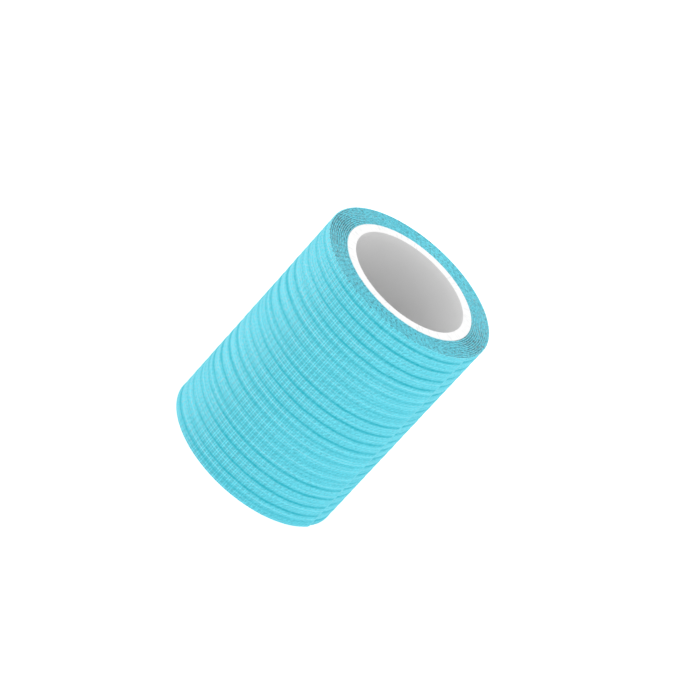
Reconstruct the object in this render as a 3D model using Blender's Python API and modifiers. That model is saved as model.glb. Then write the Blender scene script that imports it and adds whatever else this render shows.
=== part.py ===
"""Cohesive bandage roll: a turquoise self-clinging crepe bandage wound on a thick paper core.

The roll stands on one flat end. +Z is the winding axis, the origin is the middle of the lower
end, and the loose end of the bandage lies down the side. All lengths are in metres.
"""
import math
from collections import namedtuple

import bpy
import numpy as np

# The roll, from the 4 inch width that such a bandage is sold in.
BANDAGE_WIDTH = 0.1016
ROLL_RADIUS = 0.0386          # over the outer turn, where it lies evenly
CORE_RADIUS = 0.02995
CORE_BORE_RADIUS = 0.0259
CORE_CHAMFER = 0.0002         # the cut edges of the paper tube, a little worn
GAP = 0.0003                  # between the first turn of the bandage and the core

# The outer turn.
TURN_THICKNESS = 0.0004       # one layer of bandage: the step at the loose end
LOOSE_END_ANGLE = -23.7       # degrees about +Z from +X
LOOSE_END_SLOPE = 0.5         # degrees that the step takes
CLIMB_ANGLE = 54              # degrees over which the turn climbs one layer to its loose end
EDGE_ROUNDING = 0.0003        # the bandage's own edges, where the side meets the ends

# The crepe: shallow grooves round the roll. Eight of them make one repeat of the weave.
REPEAT_HEIGHT = 0.0381
REPEATS = 3
GROOVE_DEPTH = 0.0003
GROOVE_HALF_WIDTH = 0.0008
# Height of a groove in its repeat near the loose end, its height on the rest of the turn
# (both in mm), and the set that it belongs to.
Groove = namedtuple("Groove", "end_mm rest_mm set")
GROOVES = (
    Groove(3.0, 2.9, "side"),
    Groove(6.4, 7.7, "front"),
    Groove(11.7, 12.5, "front"),
    Groove(16.9, 17.4, "front"),
    Groove(22.0, 22.3, "front"),
    Groove(25.3, 25.6, "side"),
    Groove(30.6, 30.9, "side"),
    Groove(35.9, 36.0, "side"),
)
# How deep each set is, as a share of the full depth, at these angles back from the loose end.
SHARE_ANGLES = (0, 60, 110, 150, 220, 300, 360)
SHARES = {
    "front": (0.9, 1.0, 0.65, 0.35, 0.5, 0.6, 0.6),
    "side": (0.1, 0.1, 0.5, 0.95, 0.8, 0.6, 0.6),
}
SHIFT_ANGLES = (50, 150)      # over these angles a groove moves from its end to its rest height

ROLL_STEPS = 64
CORE_STEPS = 64

COLLECTION = "cohesive_bandage_roll"
CLOTH_COLOUR = (0.160, 0.716, 0.831)
PAPER_COLOUR = (0.88, 0.88, 0.87)


def clear_scene():
    """Remove every object of the open file."""
    for obj in list(bpy.data.objects):
        bpy.data.objects.remove(obj, do_unlink=True)


def make_collection(name):
    collection = bpy.data.collections.new(name)
    bpy.context.scene.collection.children.link(collection)
    return collection


def make_material(name, colour, roughness):
    material = bpy.data.materials.new(name)
    material.use_nodes = True
    shader = material.node_tree.nodes["Principled BSDF"]
    shader.inputs["Base Color"].default_value = (*colour, 1.0)
    shader.inputs["Roughness"].default_value = roughness
    shader.inputs["Metallic"].default_value = 0.0
    return material


def turned_ring(name, profile, steps, start_angle, collection, material):
    """A closed (radius, height) profile turned once about Z, as a plain mesh.

    The profile runs down the outer side, in along the bottom, up the inner side and out.
    """
    start = math.radians(start_angle)
    points = [(r * math.cos(start), r * math.sin(start), z) for r, z in profile]
    edges = [(i, (i + 1) % len(points)) for i in range(len(points))]
    outline = bpy.data.meshes.new(name + "_outline")
    outline.from_pydata(points, edges, [])
    obj = bpy.data.objects.new(name, outline)
    collection.objects.link(obj)
    screw = obj.modifiers.new("turn", "SCREW")
    screw.axis = "Z"
    screw.angle = math.radians(360)
    screw.steps = steps
    screw.render_steps = steps
    screw.use_merge_vertices = True
    screw.merge_threshold = 0.00001
    graph = bpy.context.evaluated_depsgraph_get()
    solid = bpy.data.meshes.new_from_object(obj.evaluated_get(graph))
    solid.name = name
    obj.modifiers.clear()
    obj.data = solid
    bpy.data.meshes.remove(outline)
    solid.materials.clear()
    solid.materials.append(material)
    return obj


def shade(obj, sharp_angle):
    obj.data.shade_smooth()
    obj.data.set_sharp_from_angle(angle=math.radians(sharp_angle))


def groove_table():
    """Every groove across the width: end height, rest height (metres) and set."""
    rows = []
    for repeat in range(REPEATS):
        for groove in GROOVES:
            end = groove.end_mm / 1000 + repeat * REPEAT_HEIGHT
            rest = groove.rest_mm / 1000 + repeat * REPEAT_HEIGHT
            if max(end, rest) + 2 * GROOVE_HALF_WIDTH < BANDAGE_WIDTH:
                rows.append((end, rest, groove.set))
    return rows


def roll_profile():
    """The wound bandage's section: its outer side has three rows of points at each groove."""
    inner = CORE_RADIUS + GAP
    profile = [(ROLL_RADIUS - EDGE_ROUNDING, BANDAGE_WIDTH)]
    profile.append((ROLL_RADIUS, BANDAGE_WIDTH - EDGE_ROUNDING))
    for end, _, _ in reversed(groove_table()):
        for offset in (GROOVE_HALF_WIDTH, 0.0, -GROOVE_HALF_WIDTH):
            profile.append((ROLL_RADIUS, end + offset))
    profile.append((ROLL_RADIUS, EDGE_ROUNDING))
    profile.append((ROLL_RADIUS - EDGE_ROUNDING, 0.0))
    profile.append((inner, 0.0))
    profile.append((inner, BANDAGE_WIDTH))
    return profile


def wind_outer_turn(obj):
    """Give the turned ring its outer turn: the step at the loose end, and the grooves.

    A point's turn is how far it lies round from the loose end, 0 to 1, and back is the same
    way in degrees along the outer turn. The turn is an even circle that climbs by one layer
    to its loose end, and falls back in a short step. The points at a groove slide to its
    height there, and the middle row sinks by its depth.
    """
    count = len(obj.data.vertices)
    points = np.empty(count * 3)
    obj.data.vertices.foreach_get("co", points)
    points = points.reshape(count, 3)
    radius = np.hypot(points[:, 0], points[:, 1])
    angle = np.degrees(np.arctan2(points[:, 1], points[:, 0]))
    turn = ((angle - LOOSE_END_ANGLE) / 360 + 1e-6) % 1.0
    outer = radius > (ROLL_RADIUS + CORE_RADIUS) / 2

    step = 1 / ROLL_STEPS
    slope = LOOSE_END_SLOPE / 360
    past_end = turn > step / 2
    spread = slope + (turn - step) * (1 - slope) / (1 - step)
    turn = np.where(outer & past_end, spread, turn)
    back = np.where(past_end, 360 * (1 - turn), 0.0)
    climb = TURN_THICKNESS * np.clip(1 - back / CLIMB_ANGLE, 0, 1)
    radius = radius + np.where(outer, climb, 0.0)

    height = points[:, 2].copy()
    moved = np.clip((back - SHIFT_ANGLES[0]) / (SHIFT_ANGLES[1] - SHIFT_ANGLES[0]), 0, 1)
    for end, rest, group in groove_table():
        near = outer & (np.abs(points[:, 2] - end) < 1.5 * GROOVE_HALF_WIDTH)
        middle = outer & (np.abs(points[:, 2] - end) < 0.1 * GROOVE_HALF_WIDTH)
        share = np.interp(back, SHARE_ANGLES, SHARES[group])
        height = np.where(near, height + (rest - end) * moved, height)
        radius = np.where(middle, radius - GROOVE_DEPTH * share, radius)

    angle = np.radians(LOOSE_END_ANGLE + 360 * turn)
    points = np.stack([radius * np.cos(angle), radius * np.sin(angle), height], axis=1)
    obj.data.vertices.foreach_set("co", points.ravel())
    obj.data.update()


def make_bandage_roll(collection):
    cloth = make_material("bandage_crepe", CLOTH_COLOUR, 0.85)
    obj = turned_ring("bandage_roll", roll_profile(), ROLL_STEPS, LOOSE_END_ANGLE, collection, cloth)
    wind_outer_turn(obj)
    shade(obj, 50)
    return obj


def make_core(collection):
    """A plain open paper tube as long as the bandage is wide, its cut edges just broken."""
    paper = make_material("core_paper", PAPER_COLOUR, 0.7)
    top = BANDAGE_WIDTH
    profile = [
        (CORE_RADIUS - CORE_CHAMFER, top),
        (CORE_RADIUS, top - CORE_CHAMFER),
        (CORE_RADIUS, CORE_CHAMFER),
        (CORE_RADIUS - CORE_CHAMFER, 0.0),
        (CORE_BORE_RADIUS + CORE_CHAMFER, 0.0),
        (CORE_BORE_RADIUS, CORE_CHAMFER),
        (CORE_BORE_RADIUS, top - CORE_CHAMFER),
        (CORE_BORE_RADIUS + CORE_CHAMFER, top),
    ]
    obj = turned_ring("core", profile, CORE_STEPS, LOOSE_END_ANGLE, collection, paper)
    shade(obj, 30)
    return obj


def main():
    clear_scene()
    collection = make_collection(COLLECTION)
    make_core(collection)
    make_bandage_roll(collection)


main()
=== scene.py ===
"""Cohesive bandage roll: a turquoise self-clinging crepe bandage wound on a white paper core.

The roll stands on one flat end. +Z is the winding axis, and the loose end of the bandage lies
down the side. The bandage is one strip wound 21 times, made here as two sheets: its outer turn,
which carries the crepe's relief, and the turns under it, which show at both ends. The core is a
paper tube. A place along the strip is given by "back": the degrees wound back from the loose
end, 360 for each turn. Lengths are in metres and angles in degrees, unless a name says
otherwise.
"""
import math
from collections import namedtuple

import bpy
import numpy as np
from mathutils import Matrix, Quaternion, Vector


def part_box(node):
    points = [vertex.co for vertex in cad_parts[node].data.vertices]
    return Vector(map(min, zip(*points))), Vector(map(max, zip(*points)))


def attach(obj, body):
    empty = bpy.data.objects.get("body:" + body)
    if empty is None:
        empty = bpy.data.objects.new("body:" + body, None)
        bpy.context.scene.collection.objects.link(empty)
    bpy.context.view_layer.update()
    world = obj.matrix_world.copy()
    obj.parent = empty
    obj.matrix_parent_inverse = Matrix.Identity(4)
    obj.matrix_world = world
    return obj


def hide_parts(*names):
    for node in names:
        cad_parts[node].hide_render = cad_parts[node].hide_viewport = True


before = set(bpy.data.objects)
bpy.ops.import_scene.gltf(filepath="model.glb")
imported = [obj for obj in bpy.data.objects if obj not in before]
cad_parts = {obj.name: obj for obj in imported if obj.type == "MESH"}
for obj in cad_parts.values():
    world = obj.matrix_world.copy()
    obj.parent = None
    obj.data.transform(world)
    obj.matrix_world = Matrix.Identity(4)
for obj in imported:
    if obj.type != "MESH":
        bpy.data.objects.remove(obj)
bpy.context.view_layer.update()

MM = 0.001

Zone = namedtuple("Zone", "backs shares")      # the share of something at some back angles
Waver = namedtuple("Waver", "step size seed")  # a wandering line, see wavered()


def reach(node):
    """Least and greatest distance of a CAD node's points from the winding axis."""
    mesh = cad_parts[node].data
    points = np.empty(len(mesh.vertices) * 3)
    mesh.vertices.foreach_get("co", points)
    distance = np.hypot(points[0::3], points[1::3])
    return distance.min(), distance.max()


# The roll, read from the frame.
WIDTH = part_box("bandage_roll")[1].z
BORE_RADIUS, CORE_RADIUS = reach("core")
LOOSE_END_LIFT = 0.4 * MM          # how far the loose end stands over the even roll
ROLL_RADIUS = reach("bandage_roll")[1] - LOOSE_END_LIFT

# The winding.
TURNS = 21
CORE_CLEARANCE = 0.03 * MM
PITCH = (ROLL_RADIUS - CORE_RADIUS - CORE_CLEARANCE) / TURNS
THICKNESS = 0.83 * PITCH           # the strip; the rest is air between the turns
LOOSE_END_ANGLE = -23.7            # about +Z from +X
CLIMB_ANGLE = 54                   # a turn steps out over the one below it in this angle
FIRST_CLIMB_ANGLE = 5              # the innermost turn in this one, and its end is pressed flat there
RADIAL_WAVER = Waver(6.0, 0.012 * MM, 4)
RADIAL_ZONE = Zone((340, 400), (0, 1))  # the outer turn lies even
JOIN_BACK = 395                    # where the outer sheet ends, hidden under its own loose end
JOIN_SLIT = 0.1                    # from there to the start of the other sheet

# The outer turn's points.
COLUMN_STEP = 1.15
LIP_BACKS = (0, 0.06, 0.15, 0.3, 0.5, 0.8)
LIP_GAP = 0.4                      # from the last of these to the first even column
HIDDEN_STEP = 5.0                  # between the columns under the loose end
INNER_ROWS = 8                     # on the strip's inner face
EDGE_POINTS = 3                    # round each of its edges
EDGE_ROUND = 0.12 * MM
STRONG_DEPTH = 0.6                 # a groove that gets deeper than this somewhere is a strong one
STRONG_OFFSETS_MM = (-0.25, 0.25, -0.55, 0.55, -0.95, 0.95)  # rows of points beside a strong groove
WEAK_OFFSETS_MM = (-0.4, 0.4)                                # and beside a weak one
ROW_GAPS = (0.14 * MM, 0.62 * MM)  # least and greatest
FACE_SHARE = 0.9                   # of the outer turn's baked map
LIP_ANGLE = 0.35                   # the loose end thins over this angle
LIP_SHARE = 0.3                    # to this share of the thickness
LIP_SWAY = 0.1 * MM                # how unevenly it was cut
LIP_GRAIN = 14                     # rows
LIP_SEED = 8
SWAY_ZONE = Zone((0, 4), (1, 0))   # where the cut's unevenness moves the points
RELIEF_ZONE = Zone((0.78, 2.08, 358, 362), (0, 1, 1, 0))  # none at the end and where it runs under it

# The crepe. Heights are in one repeat of the weave, in mm above the roll's lower end.
REPEAT = 38.1 * MM
REPEATS = 3
Groove = namedtuple("Groove", "end_mm side_mm back_mm end_depth side_depth back_depth")
GROOVES = (
    Groove(1.5, 1.3, 1.2, 0.20, 0.10, 0.20),
    Groove(3.1, 2.9, 2.9, 0.50, 1.00, 1.00),
    Groove(6.5, 6.5, 6.5, 0.95, 0.15, 0.00),
    Groove(7.9, 8.0, 8.0, 0.00, 0.40, 0.80),
    Groove(9.0, 9.2, 9.2, 0.10, 0.00, 0.00),
    Groove(11.6, 11.7, 12.7, 0.95, 0.55, 0.80),
    Groove(14.2, 14.2, 13.9, 0.10, 0.20, 0.00),
    Groove(16.9, 17.0, 17.7, 1.00, 0.60, 0.90),
    Groove(19.3, 19.7, 19.7, 0.15, 0.30, 0.00),
    Groove(22.1, 22.1, 22.5, 0.95, 0.60, 0.90),
    Groove(25.2, 25.3, 25.7, 0.25, 0.90, 0.60),
    Groove(27.2, 27.4, 27.7, 0.45, 0.00, 0.40),
    Groove(30.5, 30.6, 30.8, 0.35, 1.05, 0.95),
    Groove(31.9, 31.8, 31.9, 0.30, 0.00, 0.00),
    Groove(34.5, 34.2, 33.2, 0.10, 0.00, 0.30),
    Groove(36.3, 35.9, 36.0, 0.45, 1.10, 1.00),
)
GROOVE_BACKS = (90, 130, 200, 300)  # a groove is at its end, side, side and back height here
DEPTH_BACKS = (68, 124, 200, 300)   # and has its end, side, side and back depth here
GROOVE_WAVER = Waver(9.0, 0.05 * MM, 20)  # a groove's number in the table is added to the seed
Hill = namedtuple("Hill", "height_mm width_mm rise")
HILLS = (
    Hill(0.5, 0.6, 0.7),
    Hill(4.9, 0.8, 1.0),
    Hill(9.8, 0.9, 1.0),
    Hill(13.6, 0.5, 0.6),
    Hill(15.6, 0.6, 0.6),
    Hill(18.8, 0.6, 0.8),
    Hill(20.9, 0.6, 0.7),
    Hill(23.8, 0.7, 0.8),
    Hill(28.9, 0.9, 0.8),
    Hill(33.8, 0.8, 0.9),
    Hill(37.9, 0.6, 0.8),
)
GROOVE_DEPTHS = (0.24 * MM, 0.09 * MM)  # where the crepe is firm, and where it is soft
GROOVE_WIDTHS = (0.40 * MM, 0.62 * MM)  # the same for the width of the bell curve
FACE_LIFT = 0.16 * MM              # the crepe's own fullness on the outer turn
HILL_RISE = 0.05 * MM
PUCKER_RISE = 0.018 * MM
PUCKER_GRAIN = 1.6 * MM
PUCKER_SEED = 7
HIGHEST_RELIEF = 0.24 * MM
DEEPEST_RELIEF = -0.8 * THICKNESS
# All grooves get a bit deeper and shallower together.
DEPTH_ZONE = Zone((0, 18, 74, 120, 142, 200, 344, 358), (0.75, 1.04, 1, 0.88, 1.15, 1, 0.7, 1))

# Where each kind of texture lies along the outer turn.
FACE_ZONES = {
    "crinkle": Zone(               # short cracks and puckers
        (0, 3, 40, 68, 100, 125, 200, 230, 330, 360),
        (0.5, 0.9, 1, 0.7, 0.35, 0.5, 0.5, 0.9, 0.9, 0.9),
    ),
    "grid": Zone(                  # the cross yarns
        (0, 30, 55, 74, 98, 110, 122, 140, 205, 235, 290, 320),
        (0.08, 0.15, 0.6, 1, 1, 0.85, 0.5, 0.2, 0.1, 0.9, 0.8, 0.1),
    ),
    "soft": Zone(                  # an even crepe with shallow and wide grooves, paler partly by its own tone and partly by a painted sheen
        (0, 15, 30, 92, 128, 190, 215, 322, 340, 350, 360),
        (0.3, 0.15, 0, 0, 1, 1, 0.1, 0.1, 0.6, 0.3, 0.05),
    ),
    "lilac": Zone(                 # flecks of undyed yarn
        (0, 10, 30, 86, 112, 132, 160, 200, 240, 330, 360),
        (0.2, 0.1, 0.03, 0.03, 0.75, 1.05, 0.8, 0.5, 0.1, 0.15, 0.2),
    ),
    "lip": Zone((0, 0.6, 1.2), (1, 0.9, 0)),  # where a highlight is painted along the thin strip of the loose end
}

# The weave, drawn on the cloth.
PAIR_PITCH = 2.674 * MM            # the cross yarns lie in pairs
PAIR_PLACE = 2.40 * MM             # the first pair, from the loose end
PAIR_GAP = 0.90 * MM               # between a pair's own two yarns
YARN_WIDTH = 0.34 * MM
YARN_DRIFT = 0.12 * MM             # how far the yarns stray from their places
DRIFT_GRAIN = 9 * MM
# How soon the strength of yarns, rows and grooves changes, along the strip and across it.
YARN_GRAIN = (1.0 * MM, 28 * MM)
ROW_GRAIN = (17 * MM, 1.2 * MM)
GROOVE_GRAIN = (5 * MM, 0.9 * MM)
ROW_PITCH = 1.27 * MM              # the lengthwise rows
ROW_PLACE = 0.845 * MM             # the first of them, from the lower edge
ROW_WIDTH = 0.42 * MM
CRINKLE_GRAIN = 0.62 * MM
RIB_PITCH = 2.0 * MM               # before the squeeze across the bias
WAVE_LENGTH = math.tau / 20        # a wave texture's own, at a scale of 1
FIBRE_GRAIN = 0.45 * MM            # real fibres are finer than the render shows
FLECK_GRAIN = (0.50 / 0.6 * MM, 0.50 * MM)  # along the strip and across it
CREPE_BUMP = 0.05 * MM             # the height of the weave and its puckers

# The turns' edges at the two ends of the roll.
EDGE_STEP = 0.9                    # between the points along the strip
EDGE_RECESS = 0.03 * MM
SUNK_EDGE = 0.22 * MM              # every other turn lies this much deeper
DEEPEST_EDGE = 0.30 * MM
PROUD_ZONE = Zone((330, 370), (0.15, 1))  # the outer turn's own edge is proud, and sinks from here on
DASH_GRAIN = 2.2 * MM              # the length of a clump of fibre ends
PIT_GRAIN = 0.8 * MM               # real pits are finer than the render shows
SPOKES = 91                        # spokes of painted shade round the end, in the gaps between the cross yarns' ends
SPOKE_PLACE = 65.3                 # back angle of one of them, at the core
SPOKE_LEAN = 8.0 * MM              # a spoke leans by one pitch in this much radius
SPOKE_WIDTH = 0.3                  # from its middle to where it has faded, in pitches
EDGE_ZONES = {
    "dashes": Zone(                # in each turn, how strong the painted shade is in the gaps between the fibre ends and on the deeper turns
        (0, 26, 66, 86, 106, 146, 186, 216, 246, 306, 326, 346, 360),
        (0.56, 0.53, 0.68, 0.76, 0.56, 1, 0.46, 0.30, 0.42, 0.14, 0.68, 0.90, 0.55),
    ),
    "pits": Zone(                  # how strong the painted shade in the small pits is
        (0, 26, 66, 106, 146, 186, 246, 306, 326, 346, 360),
        (1.9, 2.6, 3.8, 3.6, 1.0, 1.6, 2.0, 2.1, 1.5, 1.1, 1.6),
    ),
    "spoked": Zone(                # how strong the painted shade along the spokes is
        (0, 21, 51, 81, 111, 141, 171, 201, 231, 261, 291, 321, 351, 360),
        (0.18, 0.22, 0.40, 0.50, 0.54, 0.16, 0.12, 0.14, 0.20, 0.20, 0.28, 0.20, 0.18, 0.18),
    ),
    "grey": Zone(                  # where undyed yarn ends show
        (0, 26, 66, 86, 106, 146, 186, 226, 266, 286, 326, 346, 360),
        (0.5, 0.2, 0, 0.15, 0.6, 0.8, 0.5, 0.1, 0.15, 0.8, 1, 0.8, 0.5),
    ),
}
SWAP_BACK = 246                    # where the deeper turns change place with the others
SWAP_SHARPNESS = 4.0
LOWER_EDGE_SHIFT = 3600            # the lower edge wavers as the upper one does ten turns on
EDGE_WAVERS = (
    Waver(1.2, 0.040 * MM, 1),
    Waver(4.0, 0.030 * MM, 2),
    Waver(17.0, 0.030 * MM, 3),
)

# The paper core.
CORE_STEPS = 288
CORE_ROUND = 0.18 * MM
CORNER_POINTS = 4
WALL_POINTS = 26
FACE_POINTS = 12
CREASE_DEPTH = 0.012 * MM
CREASE_SPREAD = (0.7, 5)           # in points, round the tube and along its section
CREASE_SEED = 11
CREASE_GRAIN = (0.8 * MM, 6 * MM)  # the same for the creases that get painted grey shade
MOTTLE_GRAIN = 2.5 * MM
PAPER_BUMP = 0.02 * MM

CLOTH_MAP = "cloth_metres"         # distance along the strip and height, in metres
PAPER_MAP = "paper_metres"         # distance round the tube and along its section, in metres
BAKE_MAP = "OFBake"                # the same faces laid out without overlap, for a baked texture
MAP_MARGIN = 0.01

CAMERA_PLACE = Vector((0.0, -1.35117, 0.77355))
CAMERA_AIM = Vector((0.000645, 0.0, 0.06197))
CAMERA_ROLL = 42.439
CAMERA_LENS_MM = 201.17
CAMERA_SENSOR_MM = 36.0
FLOOR_HALF = 4.0
SOFTBOX_SIZE = 1.2

# The kinds of shader node that the materials use most.
MATH = "ShaderNodeMath"
NOISE = "ShaderNodeTexNoise"
RANGE = "ShaderNodeMapRange"
RAMP = "ShaderNodeValToRGB"
MIX = "ShaderNodeMix"
STRETCH = "ShaderNodeMapping"
SHARE = "ShaderNodeAttribute"

# What the crepe reads on each point of its mesh.
CREPE_SHARES = ("groove", "hill", *FACE_ZONES, "cut_edge", "sunk", "spoke", *EDGE_ZONES)


def linear(code):
    """An sRGB hex colour as linear red, green, blue and alpha."""
    parts = [int(code[i:i + 2], 16) / 255 for i in (1, 3, 5)]
    curve = [c / 12.92 if c <= 0.04045 else ((c + 0.055) / 1.055) ** 2.4 for c in parts]
    return (*curve, 1.0)


def add(tree, kind, inputs=(), stops=(), **settings):
    """Add one shader node and return its outputs.

    Inputs are values, or other nodes' outputs that get linked: a list in the node's own order,
    or a dictionary by name or number. Stops are a ramp's (place, colour) pairs, and the
    settings are the node's properties.
    """
    node = tree.nodes.new(kind)
    for name, value in settings.items():
        setattr(node, name, value)
    named = inputs if isinstance(inputs, dict) else dict(enumerate(inputs))
    for name, value in named.items():
        if isinstance(value, bpy.types.NodeSocket):
            tree.links.new(value, node.inputs[name])
        else:
            node.inputs[name].default_value = value
    for number, (place, colour) in enumerate(stops):
        ramp = node.color_ramp.elements
        stop = ramp[number] if number < 2 else ramp.new(place)
        stop.position = place
        stop.color = linear(colour)
    return node.outputs


def start_material(name):
    """An empty node material: the material, its tree and the inputs of its shader."""
    material = bpy.data.materials.new(name)
    material.use_nodes = True
    return material, material.node_tree, material.node_tree.nodes["Principled BSDF"].inputs


# The winding

def wavered(back, waver):
    """A wandering line along the whole strip: seeded random heights, one step apart and with
    a few to spare, joined by half waves of a cosine."""
    whole = 360 * TURNS + FIRST_CLIMB_ANGLE
    knots = np.random.default_rng(waver.seed).standard_normal(int(whole / waver.step) + 3)
    place = back / waver.step
    first = np.floor(place).astype(int)
    ease = 0.5 - 0.5 * np.cos(np.pi * (place - first))
    return waver.size * (knots[first] * (1 - ease) + knots[first + 1] * ease)


def climb(back):
    """How far a turn has stepped out over the one below it, 0 to 1. The inner turns lie closer
    and do it in a shorter angle."""
    depth = np.minimum(np.floor(back / 360) / (TURNS - 1), 1.0)
    angle = CLIMB_ANGLE + (FIRST_CLIMB_ANGLE - CLIMB_ANGLE) * depth
    return np.clip(1 - (back % 360) / angle, 0, 1)


def turn_radius(back):
    """Outer radius of the strip: an even circle for each turn, one pitch less every 360
    degrees, that climbs one pitch just before it passes over its own start."""
    waver = wavered(back, RADIAL_WAVER) * np.interp(back, *RADIAL_ZONE)
    return ROLL_RADIUS - PITCH * (np.floor(back / 360) - climb(back)) + waver


def strip_distance(back):
    """Distance along the strip from the loose end: the sum of radius times angle."""
    radius = turn_radius(back)
    steps = np.radians(np.diff(back)) * (radius[1:] + radius[:-1]) / 2
    return np.concatenate([[0.0], np.cumsum(steps)])


def edge_recess(back, shift=0):
    """How deep the strip's edge lies below the end of the roll.

    Every other turn is sunk: its share is half of one plus a steep wave that changes sign once
    a turn. Every edge wavers too. The shift gives the lower edge a course of its own.
    """
    share = 0.5 + 0.5 * np.tanh(SWAP_SHARPNESS * np.sin(np.pi * (back - SWAP_BACK) / 360))
    along = np.minimum(back + shift, 360 * TURNS)
    waver = sum(wavered(along, one) for one in EDGE_WAVERS)
    recess = np.clip(EDGE_RECESS + SUNK_EDGE * share + waver, 0.0, DEEPEST_EDGE)
    return recess * np.interp(back, *PROUD_ZONE)


def spoke_phase(back):
    """A number that is whole on the middle of every dark spoke: it counts pitches round the
    roll, less the lean, which is the distance from the core over the lean's length."""
    lean = (turn_radius(back) - THICKNESS / 2 - CORE_RADIUS) / SPOKE_LEAN
    return SPOKES * (SPOKE_PLACE - back) / 360 - lean


def strip_section(up, inner_rows, edge_points):
    """The strip's section as a closed loop: share of the width, and share of the thickness
    below the outer face. It runs up the outer face, round the upper edge, down the inner
    face and round the lower edge, and each edge is half a circle flattened to the rounding."""
    turn = np.pi * np.arange(1, edge_points + 1) / (edge_points + 1)
    round_share = EDGE_ROUND / WIDTH
    over = 1 - round_share * (1 - np.sin(turn))
    through = 0.5 - 0.5 * np.cos(turn)
    down = np.linspace(1 - round_share, round_share, inner_rows)
    height = np.concatenate([up, over, down, 1 - over[::-1]])
    depth = np.concatenate([np.zeros(len(up)), through, np.ones(inner_rows), through[::-1]])
    return height, depth


def wind(radius, back, height, sway=0.0):
    """Points on the roll from their distance to its axis, their place along and their height."""
    angle = np.radians(LOOSE_END_ANGLE - back)[:, None] - sway
    return np.stack([radius * np.cos(angle), radius * np.sin(angle), height], axis=-1)


# Meshes

def smooth_noise(seed, shape, grain):
    """Seeded white noise blurred by a bell curve, grain points wide along each side, and
    scaled to a spread of 1."""
    spectrum = np.fft.fft2(np.random.default_rng(seed).standard_normal(shape))
    rows = np.fft.fftfreq(shape[0])[:, None] * grain[0]
    columns = np.fft.fftfreq(shape[1])[None, :] * grain[1]
    field = np.fft.ifft2(spectrum * np.exp(-2 * np.pi ** 2 * (rows ** 2 + columns ** 2))).real
    return field / field.std()


def pairs(first, second):
    """Two arrays, spread over each other, as one array of pairs."""
    return np.stack(np.broadcast_arrays(first, second), axis=-1)


def closed(values):
    """Values round a section, (columns, section), with the first ones again at the end."""
    return np.concatenate([values, values[:, :1]], axis=1)


def inset(values):
    """Places from 0 to 1, drawn in by the baked map's margin."""
    return MAP_MARGIN + (1 - 2 * MAP_MARGIN) * values


def cap_corners(values, bulge):
    """A cap's corners in a map: the section's own, bent sideways to a lens with an area."""
    bend = bulge * np.sin(np.pi * np.arange(len(values) - 1) / (len(values) - 1))
    return values[:-1] + pairs(bend, 0.0)


def carried_profile(name, points, maps, material, shares, ring=False):
    """A closed section carried along a path, which ends in two caps or joins up as a ring.

    Points are (columns, section, 3), and a face joins two neighbours of a section to the same
    two of the next. Each map gives its values where a step starts and where it ends, both
    (steps, section + 1, 2). Shares are a number for each point, which the material reads.
    """
    columns, section, _ = points.shape
    here = np.arange(columns * section).reshape(columns, section)
    over = np.roll(here, -1, axis=1)
    quads = np.stack([here, over, np.roll(over, -1, axis=0), np.roll(here, -1, axis=0)], axis=-1)
    if not ring:
        quads = quads[:-1]
    faces = quads.reshape(-1, 4).tolist()
    if not ring:
        faces += [here[0][::-1].tolist(), here[-1].tolist()]
    mesh = bpy.data.meshes.new(name)
    mesh.from_pydata(points.reshape(-1, 3), [], faces)
    for map_name, (start, end) in maps.items():
        corners = [start[:, :-1], start[:, 1:], end[:, 1:], end[:, :-1]]
        corners = np.stack(corners, axis=2).reshape(-1, 2)
        if not ring:
            bulge = MAP_MARGIN / 2 if map_name == BAKE_MAP else 0.0
            caps = [cap_corners(start[0], -bulge)[::-1], cap_corners(end[-1], bulge)]
            corners = np.concatenate([corners, *caps])
        layer = mesh.uv_layers.new(name=map_name)
        layer.uv.foreach_set("vector", corners.astype(np.float32).ravel())
    for share, values in shares.items():
        layer = mesh.attributes.new(share, "FLOAT", "POINT")
        spread = np.broadcast_to(values, here.shape).astype(np.float32)
        layer.data.foreach_set("value", spread.ravel())
    mesh.update()
    return mesh_object(name, mesh, material)


def mesh_object(name, mesh, material):
    """A smooth object of the mesh, in the scene."""
    mesh.materials.append(material)
    mesh.shade_smooth()
    obj = bpy.data.objects.new(name, mesh)
    bpy.context.scene.collection.objects.link(obj)
    return obj


# The bandage

def groove_lines(back):
    """The grooves all along the turn, lowest first: heights and depths, (columns, grooves).

    Both are read between the places that the table gives, and the heights waver.
    """
    heights = []
    depths = []
    for repeat in range(REPEATS):
        for number, row in enumerate(GROOVES):
            places = (row.end_mm, row.side_mm, row.side_mm, row.back_mm)
            shares = (row.end_depth, row.side_depth, row.side_depth, row.back_depth)
            waver = wavered(back, GROOVE_WAVER._replace(seed=GROOVE_WAVER.seed + number))
            heights.append(np.interp(back, GROOVE_BACKS, places) * MM + repeat * REPEAT + waver)
            depths.append(np.interp(back, DEPTH_BACKS, shares) * np.interp(back, *DEPTH_ZONE))
    heights = np.stack(heights, axis=1)
    depths = np.stack(depths, axis=1)
    whole = heights.max(axis=0) < WIDTH - ROW_GAPS[1]
    return heights[:, whole], depths[:, whole]


def hill_heights():
    """The heights of all hills, their widths and their rises, as three arrays."""
    rows = [(hill.height_mm * MM + repeat * REPEAT, hill.width_mm * MM, hill.rise)
            for repeat in range(REPEATS) for hill in HILLS]
    return np.array(rows).T


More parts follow.
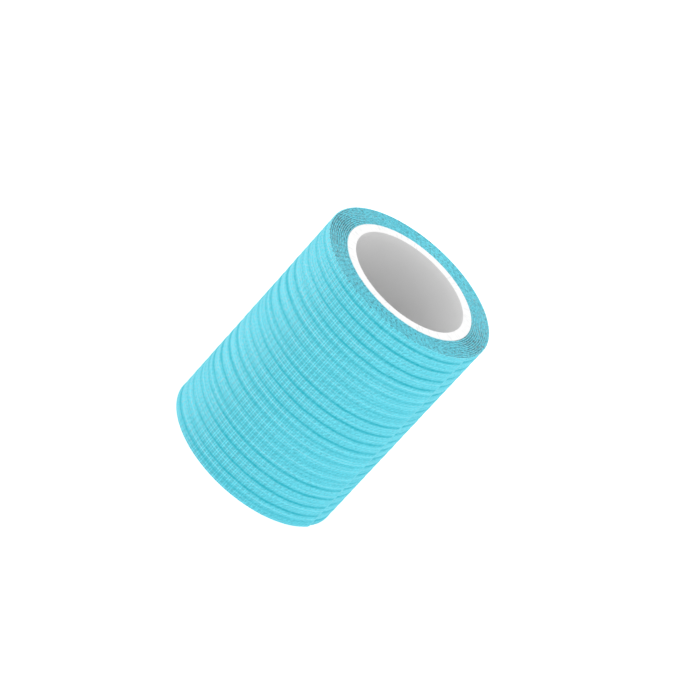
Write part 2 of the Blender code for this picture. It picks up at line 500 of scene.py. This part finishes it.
def face_rows(home, strong):
    """Heights of the rows of points on the outer face, before they slide with the grooves.

    A groove has a row at its middle and others beside it, more if it is strong. A hill has
    one, and what is still a wide gap gets one halfway.
    """
    low = EDGE_ROUND
    high = WIDTH - EDGE_ROUND
    wanted = [home[strong] + offset * MM for offset in STRONG_OFFSETS_MM]
    wanted += [home[~strong] + offset * MM for offset in WEAK_OFFSETS_MM]
    wanted.append(hill_heights()[0])
    rows = np.concatenate([[low, high], home])
    for height in np.concatenate(wanted):
        if low < height < high and np.abs(rows - height).min() > ROW_GAPS[0]:
            rows = np.append(rows, height)
    rows = np.sort(rows)
    wide = np.flatnonzero(np.diff(rows) > ROW_GAPS[1])
    return np.sort(np.concatenate([rows, (rows[wide] + rows[wide + 1]) / 2]))


def slid(heights, home, lines):
    """Heights after they slide with the grooves, (columns, heights): each keeps its share of
    the way between the two lines beside it. Home is where the lines lie before."""
    above = np.clip(np.searchsorted(home, heights, side="right"), 1, len(home) - 1)
    below = above - 1
    share = (heights - home[below]) / (home[above] - home[below])
    return lines[:, below] * (1 - share) + lines[:, above] * share


def crepe_relief(back, height, lines, depths):
    """How deep in a groove and how high on a hill each point lies, both (columns, rows).

    A groove is a bell curve across its line, narrow where the crepe is firm and wide where it
    is soft, and the deeper of two counts. Hills are bell curves between them.
    """
    width = np.interp(np.interp(back, *FACE_ZONES["soft"]), (0, 1), GROOVE_WIDTHS)[:, None]
    groove = np.zeros_like(height)
    for line, depth in zip(lines.T, depths.T):
        bell = depth[:, None] * np.exp(-0.5 * ((height - line[:, None]) / width) ** 2)
        groove = np.maximum(groove, bell)
    hill = np.zeros_like(height)
    for middle, spread, rise in hill_heights().T:
        hill += rise * np.exp(-0.5 * ((height - middle) / spread) ** 2)
    return groove, np.minimum(hill, 1.0)


def zone_shares(back, zones):
    """The shares of several zones all along, by name."""
    return {name: np.interp(back, *zone)[:, None] for name, zone in zones.items()}


def edge_shares(back, depth, recess):
    """What the material reads on the strip's edges: where they are, how deep they lie as a
    share of the deepest, which spoke is near, and the zones, which are the same each turn."""
    return {
        "cut_edge": (depth > 0) & (depth < 1),
        "sunk": (recess / DEEPEST_EDGE)[:, None],
        "spoke": spoke_phase(back)[:, None],
        **zone_shares(back % 360, EDGE_ZONES),
    }


def outer_turn(material):
    """The outer turn of the strip and the hidden start of the next one.

    Radius = turn radius - share of the thickness + relief * (1 - that share), and the relief
    is lift + hill - groove + pucker. It fades out at the loose end and where the sheet runs
    on under it.
    """
    # The last even column lies at 360, as the first hidden one does.
    even = np.arange(LIP_BACKS[-1] + LIP_GAP, 360, COLUMN_STEP)
    hidden = np.arange(360, JOIN_BACK, HIDDEN_STEP)
    back = np.concatenate([LIP_BACKS, even, hidden, [JOIN_BACK]])
    lines, depths = groove_lines(back)
    home = lines.mean(axis=0)
    rows = face_rows(home, depths.max(axis=0) > STRONG_DEPTH)
    share, depth = strip_section(rows / WIDTH, INNER_ROWS, EDGE_POINTS)

    recess = edge_recess(back)
    low = edge_recess(back, LOWER_EDGE_SHIFT)[:, None]
    ends = np.concatenate([low, lines, WIDTH - recess[:, None]], axis=1)
    height = slid(share * WIDTH, np.concatenate([[0.0], home, [WIDTH]]), ends)
    groove, hill = crepe_relief(back, height, lines, depths)
    shown = np.interp(back, *RELIEF_ZONE)[:, None]
    groove = groove * shown
    hill = hill * shown
    column_width = math.radians(COLUMN_STEP) * ROLL_RADIUS
    grain = (PUCKER_GRAIN / column_width, PUCKER_GRAIN * len(rows) / WIDTH)
    pucker = smooth_noise(PUCKER_SEED, height.shape, grain)
    deep = np.interp(np.interp(back, *FACE_ZONES["soft"]), (0, 1), GROOVE_DEPTHS)[:, None]
    relief = FACE_LIFT + HILL_RISE * hill - deep * groove + PUCKER_RISE * pucker
    relief = np.clip(relief, DEEPEST_RELIEF, HIGHEST_RELIEF) * shown * (1 - depth)

    lip = LIP_SHARE + (1 - LIP_SHARE) * np.sqrt(1 - np.clip(1 - back / LIP_ANGLE, 0, 1) ** 2)
    thick = (THICKNESS * lip)[:, None]
    radius = turn_radius(back)[:, None] - THICKNESS + thick * (1 - depth) + relief
    sway = LIP_SWAY / ROLL_RADIUS * smooth_noise(LIP_SEED, (1, share.size), (1, LIP_GRAIN))
    points = wind(radius, back, height, sway * np.interp(back, *SWAY_ZONE)[:, None])

    along = strip_distance(back)
    flat = closed(pairs(along[:, None], height))
    steps = np.full(share.size, (1 - FACE_SHARE) / (share.size - len(rows) + 1))
    steps[:len(rows) - 1] = np.diff(rows) / (rows[-1] - rows[0]) * FACE_SHARE
    spread = pairs(inset(back / JOIN_BACK)[:, None], inset(np.append(0.0, np.cumsum(steps))))
    maps = {CLOTH_MAP: (flat[:-1], flat[1:]), BAKE_MAP: (spread[:-1], spread[1:])}
    shares = {"groove": groove, "hill": hill, **zone_shares(back, FACE_ZONES)}
    shares.update(edge_shares(back, depth, recess))
    return carried_profile("outer_turn", points, maps, material, shares), along[-1]


def wound_turns(material):
    """The turns under the outer one: the strip's plain section carried down the same winding
    to the core, where its end thins to nothing under the first turn. Only its edges show, so
    it has no rows on its faces."""
    back = np.arange(JOIN_BACK + JOIN_SLIT, 360 * TURNS + FIRST_CLIMB_ANGLE, EDGE_STEP)
    round_share = EDGE_ROUND / WIDTH
    share, depth = strip_section([round_share, 1 - round_share], 2, 2)
    recess = edge_recess(back)
    low = edge_recess(back, LOWER_EDGE_SHIFT)[:, None]
    height = low + share * (WIDTH - recess[:, None] - low)
    lowest = CORE_RADIUS + CORE_CLEARANCE / 2
    radius = np.maximum(turn_radius(back)[:, None] - THICKNESS * depth, lowest)
    points = wind(radius, back, height)

    along = strip_distance(back)
    flat = closed(pairs(along[:, None], height))
    turn = np.floor(back[:-1] / 360)
    across = inset((turn[:, None] - 1 + inset(np.linspace(0, 1, share.size + 1))) / TURNS)
    begin = (back[:-1] / 360 - turn)[:, None]
    longest = 1 + EDGE_STEP / 360
    start = pairs(inset(begin / longest), across)
    end = pairs(inset((begin + EDGE_STEP / 360) / longest), across)
    maps = {CLOTH_MAP: (flat[:-1], flat[1:]), BAKE_MAP: (start, end)}
    shares = edge_shares(back, depth, recess)
    return carried_profile("wound_turns", points, maps, material, shares), along[-1]


# The core

def tube_section():
    """The tube's wall as a closed loop of (radius, height): up the outer side, in across the
    top, down the bore and out across the bottom, with quarter circles at its four corners."""
    corner = np.radians(np.linspace(0, 90, CORNER_POINTS))
    sine = CORE_ROUND * np.sin(corner)
    cosine = CORE_ROUND * np.cos(corner)
    inner = BORE_RADIUS + CORE_ROUND
    outer = CORE_RADIUS - CORE_ROUND
    top = WIDTH - CORE_ROUND
    wall = np.linspace(CORE_ROUND, top, WALL_POINTS)[1:-1]
    face = np.linspace(inner, outer, FACE_POINTS)[1:-1]
    parts = (
        (np.full(wall.size, CORE_RADIUS), wall),
        (outer + cosine, top + sine),
        (face[::-1], np.full(face.size, WIDTH)),
        (inner - sine, top + cosine),
        (np.full(wall.size, BORE_RADIUS), wall[::-1]),
        (inner - cosine, CORE_ROUND - sine),
        (face, np.zeros(face.size)),
        (outer + sine, CORE_ROUND - cosine),
    )
    radius, height = (np.concatenate(part) for part in zip(*parts))
    return radius, height


def paper_core(material):
    """The paper tube: its wall's section turned about Z. Creases a hundredth of a millimetre
    deep run across the two cut ends."""
    radius, level = tube_section()
    at_end = (level > WIDTH - CORE_ROUND) | (level < CORE_ROUND)
    crease = np.abs(smooth_noise(CREASE_SEED, (CORE_STEPS, radius.size), CREASE_SPREAD))
    height = level - CREASE_DEPTH * crease * at_end * np.sign(level - WIDTH / 2)
    angle = np.radians(np.arange(CORE_STEPS) * 360 / CORE_STEPS)[:, None]
    points = np.stack([radius * np.cos(angle), radius * np.sin(angle), height], axis=-1)

    lengths = np.hypot(np.diff(radius, append=radius[0]), np.diff(level, append=level[0]))
    down = np.append(0.0, np.cumsum(lengths))
    start = np.arange(CORE_STEPS)[:, None] / CORE_STEPS
    end = start + 1 / CORE_STEPS
    around = 2 * math.pi * CORE_RADIUS
    across = inset(down / down[-1])
    maps = {
        PAPER_MAP: (pairs(start * around, down), pairs(end * around, down)),
        BAKE_MAP: (pairs(inset(start), across), pairs(inset(end), across)),
    }
    shares = {"cut_end": at_end, "bore": (radius < BORE_RADIUS + CORE_ROUND / 2) & ~at_end}
    return carried_profile("core_tube", points, maps, material, shares, ring=True)


# Materials

def summed(tree, start, parts):
    """A start plus each part times its weight."""
    total = start
    for part, weight in parts:
        total = add(tree, MATH, [part, weight, total], operation="MULTIPLY_ADD")[0]
    return total


def cross_yarns(tree, place, along):
    """1 on the middle of a cross yarn: its distance from the nearest pair, less half the pair's
    gap. Each yarn has a strength of its own, which holds across the width."""
    drift = add(tree, NOISE, {"Vector": place, "Scale": 1 / DRIFT_GRAIN, "Detail": 0.0})[0]
    moved = add(tree, MATH, [drift, YARN_DRIFT, along], operation="MULTIPLY_ADD")[0]
    start = -(PAIR_PLACE + YARN_DRIFT / 2) / PAIR_PITCH
    phase = add(tree, MATH, [moved, 1 / PAIR_PITCH, start], operation="MULTIPLY_ADD")[0]
    from_pair = add(tree, MATH, [phase, 0.5], operation="PINGPONG")[0]
    from_yarn = add(tree, MATH, [from_pair, PAIR_GAP / 2 / PAIR_PITCH], operation="SUBTRACT")[0]
    from_yarn = add(tree, MATH, [from_yarn], operation="ABSOLUTE")[0]
    line = [from_yarn, 0.0, YARN_WIDTH / PAIR_PITCH, 1.0, 0.0]
    yarn = add(tree, RANGE, line, interpolation_type="SMOOTHSTEP")[0]
    scale = (1 / YARN_GRAIN[0], 1 / YARN_GRAIN[1], 1)
    long = add(tree, STRETCH, {"Vector": place, "Scale": scale})[0]
    own = add(tree, NOISE, {"Vector": long, "Scale": 1.0, "Detail": 1.0})[0]
    own = add(tree, MATH, [own, 0.7, 0.65], operation="MULTIPLY_ADD")[0]
    return add(tree, MATH, [yarn, own], operation="MULTIPLY")[0]


def light_rows(tree, place, height, share):
    """1 on the middle of a lengthwise row. The rows on the hills are the strong ones, each
    comes and goes along the strip, and they are lost where it is crinkled."""
    start = -ROW_PLACE / ROW_PITCH
    phase = add(tree, MATH, [height, 1 / ROW_PITCH, start], operation="MULTIPLY_ADD")[0]
    from_row = add(tree, MATH, [phase, 0.5], operation="PINGPONG")[0]
    line = [from_row, 0.0, ROW_WIDTH / ROW_PITCH, 1.0, 0.0]
    row = add(tree, RANGE, line, interpolation_type="SMOOTHSTEP")[0]
    scale = (1 / ROW_GRAIN[0], 1 / ROW_GRAIN[1], 1)
    long = add(tree, STRETCH, {"Vector": place, "Scale": scale})[0]
    own = add(tree, NOISE, {"Vector": long, "Scale": 1.0, "Detail": 2.0})[0]
    own = summed(tree, -0.1, [(own, 1.6), (share["hill"], 0.5)])
    own = add(tree, MATH, [share["crinkle"], -0.7, own], operation="MULTIPLY_ADD", use_clamp=True)[0]
    return add(tree, MATH, [row, own], operation="MULTIPLY")[0]


def crinkles(tree, place):
    """About -1 in a crack and 1 on a pucker: rounded cells and short worms, longer one way
    across the strip's bias, and broken ribs that run the same way."""
    slant = {"Vector": place, "Rotation": (0, 0, math.radians(-45)), "Scale": (1.4, 0.85, 1)}
    squeezed = add(tree, STRETCH, slant, vector_type="TEXTURE")[0]
    bend = {"Vector": squeezed, "Scale": 1 / CRINKLE_GRAIN, "Detail": 1.0, "Roughness": 0.6}
    bend["Distortion"] = 0.8
    worm = add(tree, NOISE, bend)[0]
    cells = {"Vector": squeezed, "Scale": 1 / CRINKLE_GRAIN}
    cell = add(tree, "ShaderNodeTexVoronoi", cells, voronoi_dimensions="2D")["Distance"]
    ribs = {"Vector": squeezed, "Scale": WAVE_LENGTH / RIB_PITCH, "Distortion": 3.0, "Detail": 1.0}
    ribs["Detail Scale"] = 4.0
    rib = add(tree, "ShaderNodeTexWave", ribs, bands_direction="Y")[1]
    return summed(tree, -1.115, [(worm, 2.4), (cell, -0.7), (rib, 0.42)])


def edge_colour(tree, along, share):
    """The strip's cut edges: turquoise fibre ends in dashes, and painted shade in grey-brown in the
    gaps between them: in the pits, along the spokes and on the turns that lie deeper."""
    dash = {"W": along, "Scale": 1 / DASH_GRAIN, "Detail": 2.5, "Roughness": 0.6}
    dash = add(tree, NOISE, dash, noise_dimensions="1D")[0]
    coords = add(tree, "ShaderNodeTexCoord")["Object"]
    spots = add(tree, NOISE, {"Vector": coords, "Scale": 1 / PIT_GRAIN, "Detail": 1.0})["Color"]
    spots = add(tree, "ShaderNodeSeparateColor", [spots])
    # painted shade in the small pits between the fibre ends
    pit_shade = add(tree, MATH, [spots[0], -0.5], operation="ADD")[0]
    # painted shade on the turns that lie deeper: darker the deeper they lie, and stronger where the
    # dashes zone is high
    row = add(tree, MATH, [share["sunk"], -0.8, 0.36], operation="MULTIPLY_ADD")[0]
    # painted shade along the spokes, in the gaps between the cross yarns' ends
    beside = add(tree, MATH, [share["spoke"], 0.5], operation="PINGPONG")[0]
    spoke_shade_fade = [beside, 0.0, SPOKE_WIDTH, -0.7, 0.3]
    spoke = add(tree, RANGE, spoke_shade_fade, interpolation_type="SMOOTHSTEP")[0]
    parts = (
        (dash, 2.4),
        (pit_shade, share["pits"]),
        (row, share["dashes"]),
        (share["dashes"], -0.46),
        (share["grey"], 0.05),
        (spoke, share["spoked"]),
    )
    light = summed(tree, -0.22, parts)
    # the ramp's grey-brown end is the colour of the painted shade
    stops = [(0.0, "#526D71"), (1.0, "#75DEEE"), (0.33, "#5F9BA5"), (0.6, "#66BDCC")]
    tone = add(tree, RAMP, [light], stops)[0]
    undyed = add(tree, RANGE, [spots[1], 0.48, 0.68, 0.1, 0.7], interpolation_type="SMOOTHSTEP")[0]
    undyed = add(tree, MATH, [undyed, share["grey"]], operation="MULTIPLY")[0]
    return add(tree, MIX, {0: undyed, 6: tone, 7: linear("#A8B0B0")}, data_type="RGBA")[2]


def cloth_colour(tree, share, yarn, row, worm, fibre):
    """The faces' turquoise: lighter on the yarns and the rows, with a painted highlight on the
    puckers and the hills and painted shade in the cracks, and more even and paler where the crepe is
    soft, partly its own tone and partly a painted sheen."""
    woven = add(tree, MATH, [yarn, -0.50], operation="ADD")[0]
    woven = add(tree, MATH, [woven, share["grid"]], operation="MULTIPLY")[0]
    # painted shade in the cracks and painted highlight on the puckers, stronger where the cloth is
    # crinkled
    crinkle_shading = add(tree, MATH, [share["crinkle"], 0.46, 0.01], operation="MULTIPLY_ADD")[0]
    parts = (
        (woven, 0.60),
        (row, 0.28),
        (worm, crinkle_shading),
        (share["crinkle"], 0.12),
        (fibre, 0.42),
        # painted highlight on the hills
        (share["hill"], 0.08),
        # paler where the crepe is soft: partly its own tone, partly a painted sheen
        (share["soft"], 0.11),
    )
    light = summed(tree, 0.27, parts)
    stops = [(0.0, "#469DAA"), (1.0, "#64D8E8"), (0.35, "#4DB3C2"), (0.65, "#57C5D6")]
    tone = add(tree, RAMP, [light], stops)[0]
    # the even, paler tone of the soft crepe, partly a painted sheen
    pale_and_sheen_share = add(tree, MATH, [share["soft"], 0.25], operation="MULTIPLY")[0]
    return add(tree, MIX, {0: pale_and_sheen_share, 6: tone, 7: linear("#66D6E6")}, data_type="RGBA")[2]


def flecked(tree, share, place, yarn, row, tone):
    """A colour with the grey-lilac of undyed yarn over it: in flecks between the cross yarns,
    and along the rows."""
    scale = (1 / FLECK_GRAIN[0], 1 / FLECK_GRAIN[1], 1)
    lying = add(tree, STRETCH, {"Vector": place, "Scale": scale})[0]
    fleck = add(tree, NOISE, {"Vector": lying, "Scale": 1.0, "Detail": 1.0})[0]
    fleck = add(tree, RANGE, [fleck, 0.50, 0.68], interpolation_type="SMOOTHSTEP")[0]
    between = add(tree, MATH, [yarn, -0.7, 1.0], operation="MULTIPLY_ADD")[0]
    veil = add(tree, MATH, [fleck, share["lilac"]], operation="MULTIPLY")[0]
    veil = add(tree, MATH, [veil, between], operation="MULTIPLY")[0]
    veil = summed(tree, veil, [(share["lilac"], 0.01), (share["crinkle"], 0.05)])
    shown = add(tree, MATH, [share["soft"], -0.16, 0.34], operation="MULTIPLY_ADD")[0]
    veil = add(tree, MATH, [row, shown, veil], operation="MULTIPLY_ADD", use_clamp=True)[0]
    return add(tree, MIX, {0: veil, 6: tone, 7: linear("#AAC3CC")}, data_type="RGBA")[2]


def grooved(tree, share, place, yarn, worm, tone):
    """A colour with painted shade in the grooves: a darker, purer turquoise, for the shade and the
    light bounced inside them. The painted shade is stronger and weaker along a groove's way, and
    paler where the crepe is soft and where yarns and puckers cross it."""
    scale = (1 / GROOVE_GRAIN[0], 1 / GROOVE_GRAIN[1], 1)
    long = add(tree, STRETCH, {"Vector": place, "Scale": scale})[0]
    broken = add(tree, NOISE, {"Vector": long, "Scale": 1.0, "Detail": 3.0})[0]
    broken = add(tree, MATH, [broken, 1.6, 0.2], operation="MULTIPLY_ADD")[0]
    groove_shade_share = add(tree, MATH, [share["groove"], broken], operation="MULTIPLY", use_clamp=True)[0]
    bead = summed(tree, 0.15, [(share["soft"], 0.45), (worm, 0.4)])
    bead = add(tree, MATH, [yarn, 0.25, bead], operation="MULTIPLY_ADD", use_clamp=True)[0]
    # painted shade in the grooves: a darker, purer turquoise
    groove_shade_tone = {0: bead, 6: linear("#1EA1B1"), 7: linear("#50BACB")}
    groove_shade_tone = add(tree, MIX, groove_shade_tone, data_type="RGBA")[2]
    return add(tree, MIX, {0: groove_shade_share, 6: tone, 7: groove_shade_tone}, data_type="RGBA")[2]


def crepe_material():
    """Self-clinging crepe: nonwoven polyester with stretch yarns, dipped in matt latex.

    It gives a soft matt turquoise. Pairs of lighter cross yarns stand 2.7 mm apart and rows
    1.27 mm apart, the stretch yarns crinkle the cloth between them, and the grooves get painted
    shade, a darker, purer turquoise.
    """
    material, tree, shader = start_material("polyester_crepe_latex")
    share = {name: add(tree, SHARE, attribute_name=name)["Fac"] for name in CREPE_SHARES}
    place = add(tree, "ShaderNodeUVMap", uv_map=CLOTH_MAP)["UV"]
    parts = add(tree, "ShaderNodeSeparateXYZ", [place])
    yarn = cross_yarns(tree, place, parts[0])
    row = light_rows(tree, place, parts[1], share)
    worm = crinkles(tree, place)
    fibre = add(tree, NOISE, {"Vector": place, "Scale": 1 / FIBRE_GRAIN, "Detail": 2.0})[0]

    tone = cloth_colour(tree, share, yarn, row, worm, fibre)
    tone = flecked(tree, share, place, yarn, row, tone)
    tone = grooved(tree, share, place, yarn, worm, tone)
    # painted highlight: a lighter strip along the thin, rounded loose end
    lip_highlight_share = add(tree, MATH, [share["lip"], 0.5], operation="MULTIPLY")[0]
    tone = add(tree, MIX, {0: lip_highlight_share, 6: tone, 7: linear("#88D8E6")}, data_type="RGBA")[2]
    edge = edge_colour(tree, parts[0], share)
    tone = add(tree, MIX, {0: share["cut_edge"], 6: tone, 7: edge}, data_type="RGBA")[2]

    relief = add(tree, MATH, [yarn, share["grid"]], operation="MULTIPLY")[0]
    relief = summed(tree, relief, [(worm, 1.0), (fibre, 0.5), (row, 0.8)])
    bump = {"Height": relief, "Strength": 0.5, "Distance": CREPE_BUMP}
    bump = add(tree, "ShaderNodeBump", bump)[0]
    tree.links.new(tone, shader["Base Color"])
    tree.links.new(bump, shader["Normal"])
    shader["Roughness"].default_value = 0.82
    shader["IOR"].default_value = 1.5
    shader["Specular IOR Level"].default_value = 0.08
    return material


def paper_material():
    """Bleached paper tube: white kraft wound in plies and cut with a blade.

    It is a dull even white, with a faint fibre mottle and painted shade in thin grey creases on
    the cut. Its bore is greyer: partly a greyer ply, partly painted shade inside the tube.
    """
    material, tree, shader = start_material("white_paper_tube")
    coords = add(tree, "ShaderNodeTexCoord")["Object"]
    mottle = add(tree, NOISE, {"Vector": coords, "Scale": 1 / MOTTLE_GRAIN, "Detail": 4.0})[0]
    tone = add(tree, RAMP, [mottle], [(0.3, "#E9E9E9"), (0.7, "#EDEDED")])[0]
    place = add(tree, "ShaderNodeUVMap", uv_map=PAPER_MAP)["UV"]
    scale = (1 / CREASE_GRAIN[0], 1 / CREASE_GRAIN[1], 1)
    long = add(tree, STRETCH, {"Vector": place, "Scale": scale})[0]
    crease = add(tree, NOISE, {"Vector": long, "Scale": 1.0, "Detail": 1.0})[0]
    crease = add(tree, RANGE, [crease, 0.60, 0.76, 0.0, 0.7], interpolation_type="SMOOTHSTEP")[0]
    cut_end = add(tree, SHARE, attribute_name="cut_end")["Fac"]
    crease = add(tree, MATH, [crease, cut_end], operation="MULTIPLY")[0]
    # painted shade in the creases on the cut ends
    tone = add(tree, MIX, {0: crease, 6: tone, 7: linear("#D0D2D3")}, data_type="RGBA")[2]
    # the bore's wall is greyer: partly a greyer ply, partly painted shade inside the tube
    bore = add(tree, SHARE, attribute_name="bore")["Fac"]
    bore = add(tree, MATH, [bore, 0.9], operation="MULTIPLY")[0]
    tone = add(tree, MIX, {0: bore, 6: tone, 7: linear("#D9D9D9")}, data_type="RGBA")[2]
    bump = {"Height": mottle, "Strength": 0.25, "Distance": PAPER_BUMP}
    bump = add(tree, "ShaderNodeBump", bump)[0]
    tree.links.new(tone, shader["Base Color"])
    tree.links.new(bump, shader["Normal"])
    shader["Roughness"].default_value = 0.75
    shader["IOR"].default_value = 1.5
    shader["Specular IOR Level"].default_value = 0.3
    return material


def floor_material():
    """Opal acrylic light table: matt white and lit a little from below, so it shows no shadow."""
    material, _, shader = start_material("opal_light_table")
    shader["Base Color"].default_value = linear("#C8C8C8")
    shader["Roughness"].default_value = 0.9
    shader["Specular IOR Level"].default_value = 0.1
    shader["Emission Color"].default_value = linear("#FFFFFF")
    shader["Emission Strength"].default_value = 0.65
    return material


# The studio

def make_floor():
    """A square floor that the roll stands on."""
    half = FLOOR_HALF
    corners = [(-half, -half, 0), (half, -half, 0), (half, half, 0), (-half, half, 0)]
    mesh = bpy.data.meshes.new("studio_floor")
    mesh.from_pydata(corners, [], [(0, 1, 2, 3)])
    floor = mesh_object("studio_floor", mesh, floor_material())


def make_light(name, place, watts):
    """A round soft lamp that faces the middle of the roll."""
    lamp = bpy.data.lights.new(name, "AREA")
    lamp.shape = "DISK"
    lamp.size = SOFTBOX_SIZE
    lamp.energy = watts
    obj = bpy.data.objects.new(name, lamp)
    obj.location = place
    middle = Vector((0, 0, WIDTH / 2))
    obj.rotation_euler = (middle - Vector(place)).to_track_quat("-Z", "Y").to_euler()
    bpy.context.scene.collection.objects.link(obj)


def make_studio():
    """A pale floor, an even white sky and two large soft lamps, left and right."""
    make_floor()
    world = bpy.data.worlds.new("studio_sky")
    world.use_nodes = True
    sky = world.node_tree.nodes["Background"].inputs
    sky["Color"].default_value = (1.0, 1.0, 1.0, 1.0)
    sky["Strength"].default_value = 1.15
    bpy.context.scene.world = world
    make_light("left_softbox", (-1.3, -0.6, 0.7), 2.0)
    make_light("right_softbox", (1.3, -0.5, 0.8), 1.2)
    bpy.context.scene.view_settings.view_transform = "Standard"


def make_camera():
    """A long lens from above, rolled so that the standing roll seems to lean."""
    lens = bpy.data.cameras.new("camera")
    lens.lens = CAMERA_LENS_MM
    lens.sensor_width = CAMERA_SENSOR_MM
    lens.clip_end = 20.0
    camera = bpy.data.objects.new("camera", lens)
    look = (CAMERA_AIM - CAMERA_PLACE).to_track_quat("-Z", "Y")
    roll = Quaternion((0, 0, 1), math.radians(CAMERA_ROLL))
    camera.location = CAMERA_PLACE
    camera.rotation_euler = (look @ roll).to_euler()
    bpy.context.scene.collection.objects.link(camera)
    bpy.context.scene.camera = camera


def dress(piece, node):
    """Hang a piece on the root body, and hide the node that it stands for."""
    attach(piece, "root")
    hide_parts(node)


def main():
    """Make the studio, then the bandage's two sheets and the core."""
    make_camera()
    make_studio()
    crepe = crepe_material()
    for piece, length in (outer_turn(crepe), wound_turns(crepe)):
        dress(piece, "bandage_roll")
    dress(paper_core(paper_material()), "core")


main()
